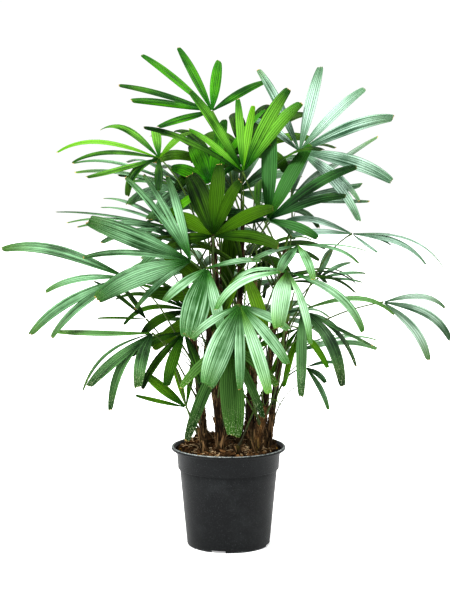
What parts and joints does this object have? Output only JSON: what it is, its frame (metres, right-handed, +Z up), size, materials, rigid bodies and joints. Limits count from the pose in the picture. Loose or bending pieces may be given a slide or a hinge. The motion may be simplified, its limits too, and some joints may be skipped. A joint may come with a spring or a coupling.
{
  "type": "potted lady palm",
  "caption": "Clump of slender fibrous canes with fans of blunt finger-like leaflets on thin stalks, standing in a round black plastic nursery pot of bark compost.",
  "frame": {"origin": "centre of the pot's underside, on the plane the pot stands on", "axes": "+Z up; the plant's front, the side it is shown from, faces -Y; +X to the right seen from the front"},
  "size_m": [0.9372, 0.7171, 1.0426],
  "materials": {
    "pot_plastic": "satin, lightly scuffed, near-black",
    "soil": "coarse bark compost, dull",
    "cane": "fibrous brown sheath, dull",
    "leaf_mid": "satin leaf, mid green",
    "leaf_bright": "satin leaf, bright green",
    "leaf_pale": "satin leaf, pale green with a soft sheen",
    "leaf_dark": "satin leaf, dark green",
    "leaf_lime": "satin leaf, young yellow-green"
  },
  "bodies": {
    "root": {"pot": "pot_plastic", "soil": "soil", "cane_front_left": "cane", "cane_front_mid_left": "cane", "cane_mid_left": "cane", "cane_centre": "cane", "cane_front_right": "cane", "cane_right_inner": "cane", "cane_right": "cane", "cane_right_back": "cane", "cane_front_stub": "cane", "cane_left_stub": "cane", "cane_left_back": "cane", "cane_back": "cane", "cane_back_right": "cane", "frond_top_left": "leaf_bright", "frond_top_centre": "leaf_bright", "frond_top_right": "leaf_pale", "frond_right_back": "leaf_mid", "frond_mid_up": "leaf_bright", "frond_left_up": "leaf_bright", "frond_left_pale": "leaf_pale", "frond_centre": "leaf_dark", "frond_left_big": "leaf_mid", "frond_left_back": "leaf_mid", "frond_left_low": "leaf_mid", "frond_low_left": "leaf_dark", "frond_front_centre": "leaf_pale", "frond_front_low": "leaf_dark", "frond_right_front": "leaf_pale", "frond_right_up_front": "leaf_mid", "frond_right_flat": "leaf_pale", "frond_right_low": "leaf_pale", "frond_right_low_mid": "leaf_dark", "frond_right_mid": "leaf_mid", "frond_centre_right": "leaf_dark", "frond_low_bright": "leaf_lime", "frond_hang_centre": "leaf_pale", "frond_low_mid_left": "leaf_dark", "frond_left_mid_back": "leaf_dark", "frond_lime_centre": "leaf_lime", "frond_inner_right": "leaf_lime", "frond_right_low_back": "leaf_mid", "frond_inner_back": "leaf_dark", "frond_back_01": "leaf_pale", "frond_back_02": "leaf_dark", "frond_back_03": "leaf_pale", "frond_back_04": "leaf_dark", "frond_back_05": "leaf_mid", "frond_back_06": "leaf_dark", "frond_back_07": "leaf_pale", "frond_back_08": "leaf_dark", "frond_back_09": "leaf_mid", "frond_back_10": "leaf_mid", "frond_back_11": "leaf_mid", "frond_back_12": "leaf_mid", "frond_back_13": "leaf_mid", "frond_back_14": "leaf_dark", "frond_back_15": "leaf_dark", "frond_back_16": "leaf_dark"}
  },
  "joints": []
}
